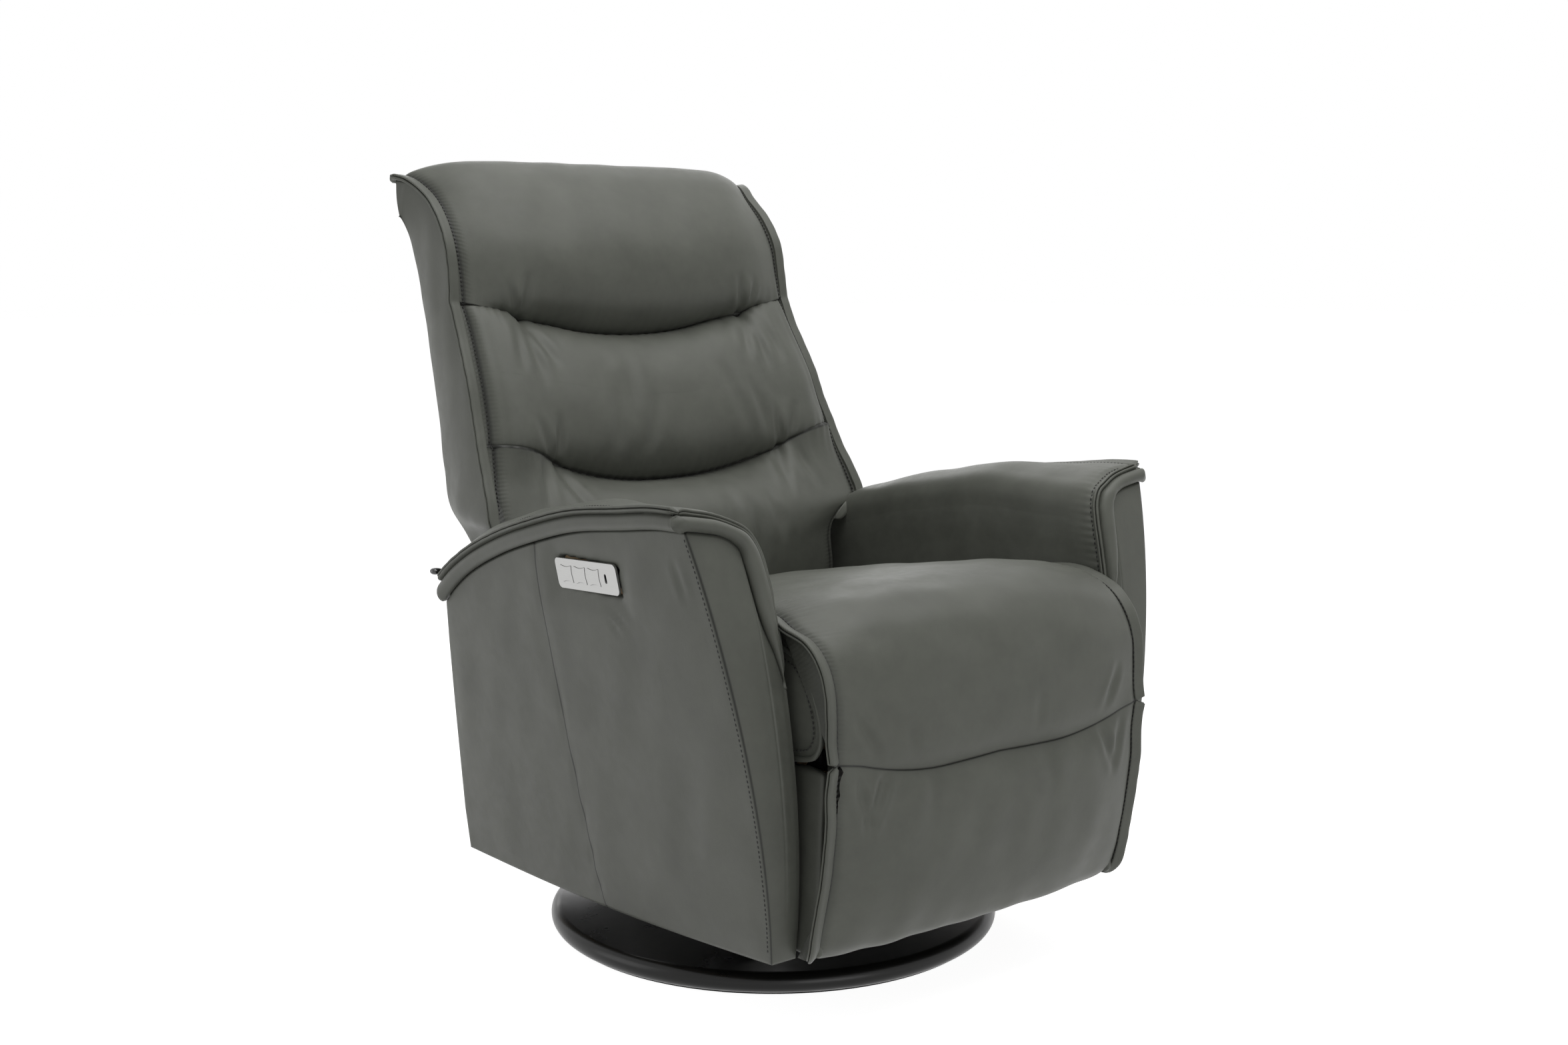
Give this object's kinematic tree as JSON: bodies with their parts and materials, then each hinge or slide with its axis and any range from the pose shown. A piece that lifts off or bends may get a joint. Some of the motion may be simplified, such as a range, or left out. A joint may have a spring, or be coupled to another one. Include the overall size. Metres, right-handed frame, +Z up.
{
  "type": "recliner armchair",
  "caption": "Leather power recliner armchair with winged arms and a pillowed back, which swivels on a round wooden foot, reclines and raises a leg rest.",
  "frame": {"origin": "middle of the round foot, on the floor", "axes": "+Z up along the swivel axis; -Y is the front, where the leg rest opens; +X is the sitter's left and -X the sitter's right, with the control plate"},
  "size_m": [0.802, 0.932, 1.07],
  "materials": {
    "leather": "smooth matt dark grey-green",
    "felt": "pressed felt",
    "lacquer": "black gloss lacquer",
    "steel": "black powder coat",
    "zinc": "zinc plated",
    "acetal": "moulded",
    "plywood": "raw birch plywood",
    "webbing": "woven elastic",
    "black_plastic": "moulded, fine texture",
    "lever_gloss": "gloss black",
    "silver_metal": "satin, bright edge",
    "lining": "black non-woven lining"
  },
  "bodies": {
    "base": {"felt_floor_pad": "felt", "wooden_foot": "lacquer", "swivel_hub": "steel", "hub_screws": "zinc", "thrust_washer": "acetal"},
    "chair_frame": {"turntable": "steel", "swivel_spindle": "zinc", "spindle_ring": "steel", "rail_bolts": "zinc", "chassis_rails": "steel", "front_cross_tube": "steel", "rear_cross_tube": "steel", "side_plates": "steel", "recline_pins": "zinc", "seat_side_rails": "plywood", "seat_front_rail": "plywood", "seat_rear_rail": "plywood", "seat_webbing": "webbing", "seat_cushion": "leather", "knee_roll": "leather", "left_arm_board": "plywood", "right_arm_board": "plywood", "arm_brackets": "steel", "left_arm_side_pad": "leather", "right_arm_side_pad": "leather", "left_arm_front_pad": "leather", "right_arm_front_pad": "leather", "left_arm_inner_pad": "leather", "right_arm_inner_pad": "leather", "arm_bolts": "zinc", "rear_cover": "leather", "power_box": "black_plastic", "control_plate": "silver_metal", "control_housing": "black_plastic", "usb_port": "black_plastic", "recline_drive": "black_plastic", "leg_rest_drive": "black_plastic"},
    "back": {"back_brackets": "steel", "back_posts": "plywood", "back_rails": "plywood", "back_webbing": "webbing", "back_crank": "steel", "back_shell": "leather", "lumbar_cushion": "leather", "middle_cushion": "leather", "head_cushion": "leather"},
    "lever": {"release_lever": "lever_gloss"},
    "knee_link": {"knee_shaft": "zinc", "knee_links": "steel", "knee_board": "plywood", "leg_pins": "zinc"},
    "leg_rest": {"leg_board": "plywood", "leg_box": "lining", "leg_brackets": "steel", "leg_pad": "leather"},
    "recline_push_rod": {"recline_rod": "zinc"},
    "leg_rest_push_rod": {"leg_rest_rod": "zinc"},
    "button_recline": {"recline_button": "silver_metal"},
    "button_upright": {"upright_button": "silver_metal"},
    "button_leg_rest": {"leg_rest_button": "silver_metal"}
  },
  "joints": [
    {"name": "swivel", "type": "hinge", "parent": "base", "child": "chair_frame", "pos_m": [0, 0, 0.068], "axis": [0, 0, 1], "continuous": true},
    {"name": "recline", "type": "hinge", "parent": "chair_frame", "child": "back", "pos_m": [0, 0.215, 0.36], "axis": [-1, 0, 0], "range_deg": [0, 32]},
    {"name": "recline_rod_slide", "type": "slide", "parent": "chair_frame", "child": "recline_push_rod", "axis": [0, -1, 0], "range_m": [0, 0.0636]},
    {"name": "knee", "type": "hinge", "parent": "chair_frame", "child": "knee_link", "pos_m": [0, -0.33, 0.405], "axis": [-1, 0, 0], "range_deg": [0, 50], "deforming": ["knee_roll"]},
    {"name": "leg_rest_fold", "type": "hinge", "parent": "knee_link", "child": "leg_rest", "pos_m": [0, -0.372, 0.345], "axis": [-1, 0, 0], "range_deg": [0, 40.5]},
    {"name": "leg_rest_rod_slide", "type": "slide", "parent": "chair_frame", "child": "leg_rest_push_rod", "axis": [0, -1, 0], "range_m": [0, 0.1217]},
    {"name": "release_lever_turn", "type": "hinge", "parent": "back", "child": "lever", "pos_m": [-0.31, 0.316, 0.49], "axis": [-1, 0, 0], "range_deg": [0, 40]},
    {"name": "press_recline", "type": "slide", "parent": "chair_frame", "child": "button_recline", "axis": [0.9848, 0, 0.1736], "range_m": [0, 0.0015], "stiffness_N_per_m": 300},
    {"name": "press_upright", "type": "slide", "parent": "chair_frame", "child": "button_upright", "axis": [0.9848, 0, 0.1736], "range_m": [0, 0.0015], "stiffness_N_per_m": 300},
    {"name": "press_leg_rest", "type": "slide", "parent": "chair_frame", "child": "button_leg_rest", "axis": [0.9848, 0, 0.1736], "range_m": [0, 0.0015], "stiffness_N_per_m": 300}
  ],
  "couplings": [
    {"joint": "recline_rod_slide", "follows": "recline", "m_per_rad": 0.11295},
    {"joint": "leg_rest_fold", "follows": "knee", "ratio": 0.8},
    {"joint": "leg_rest_rod_slide", "follows": "knee", "m_per_rad": 0.13893}
  ]
}
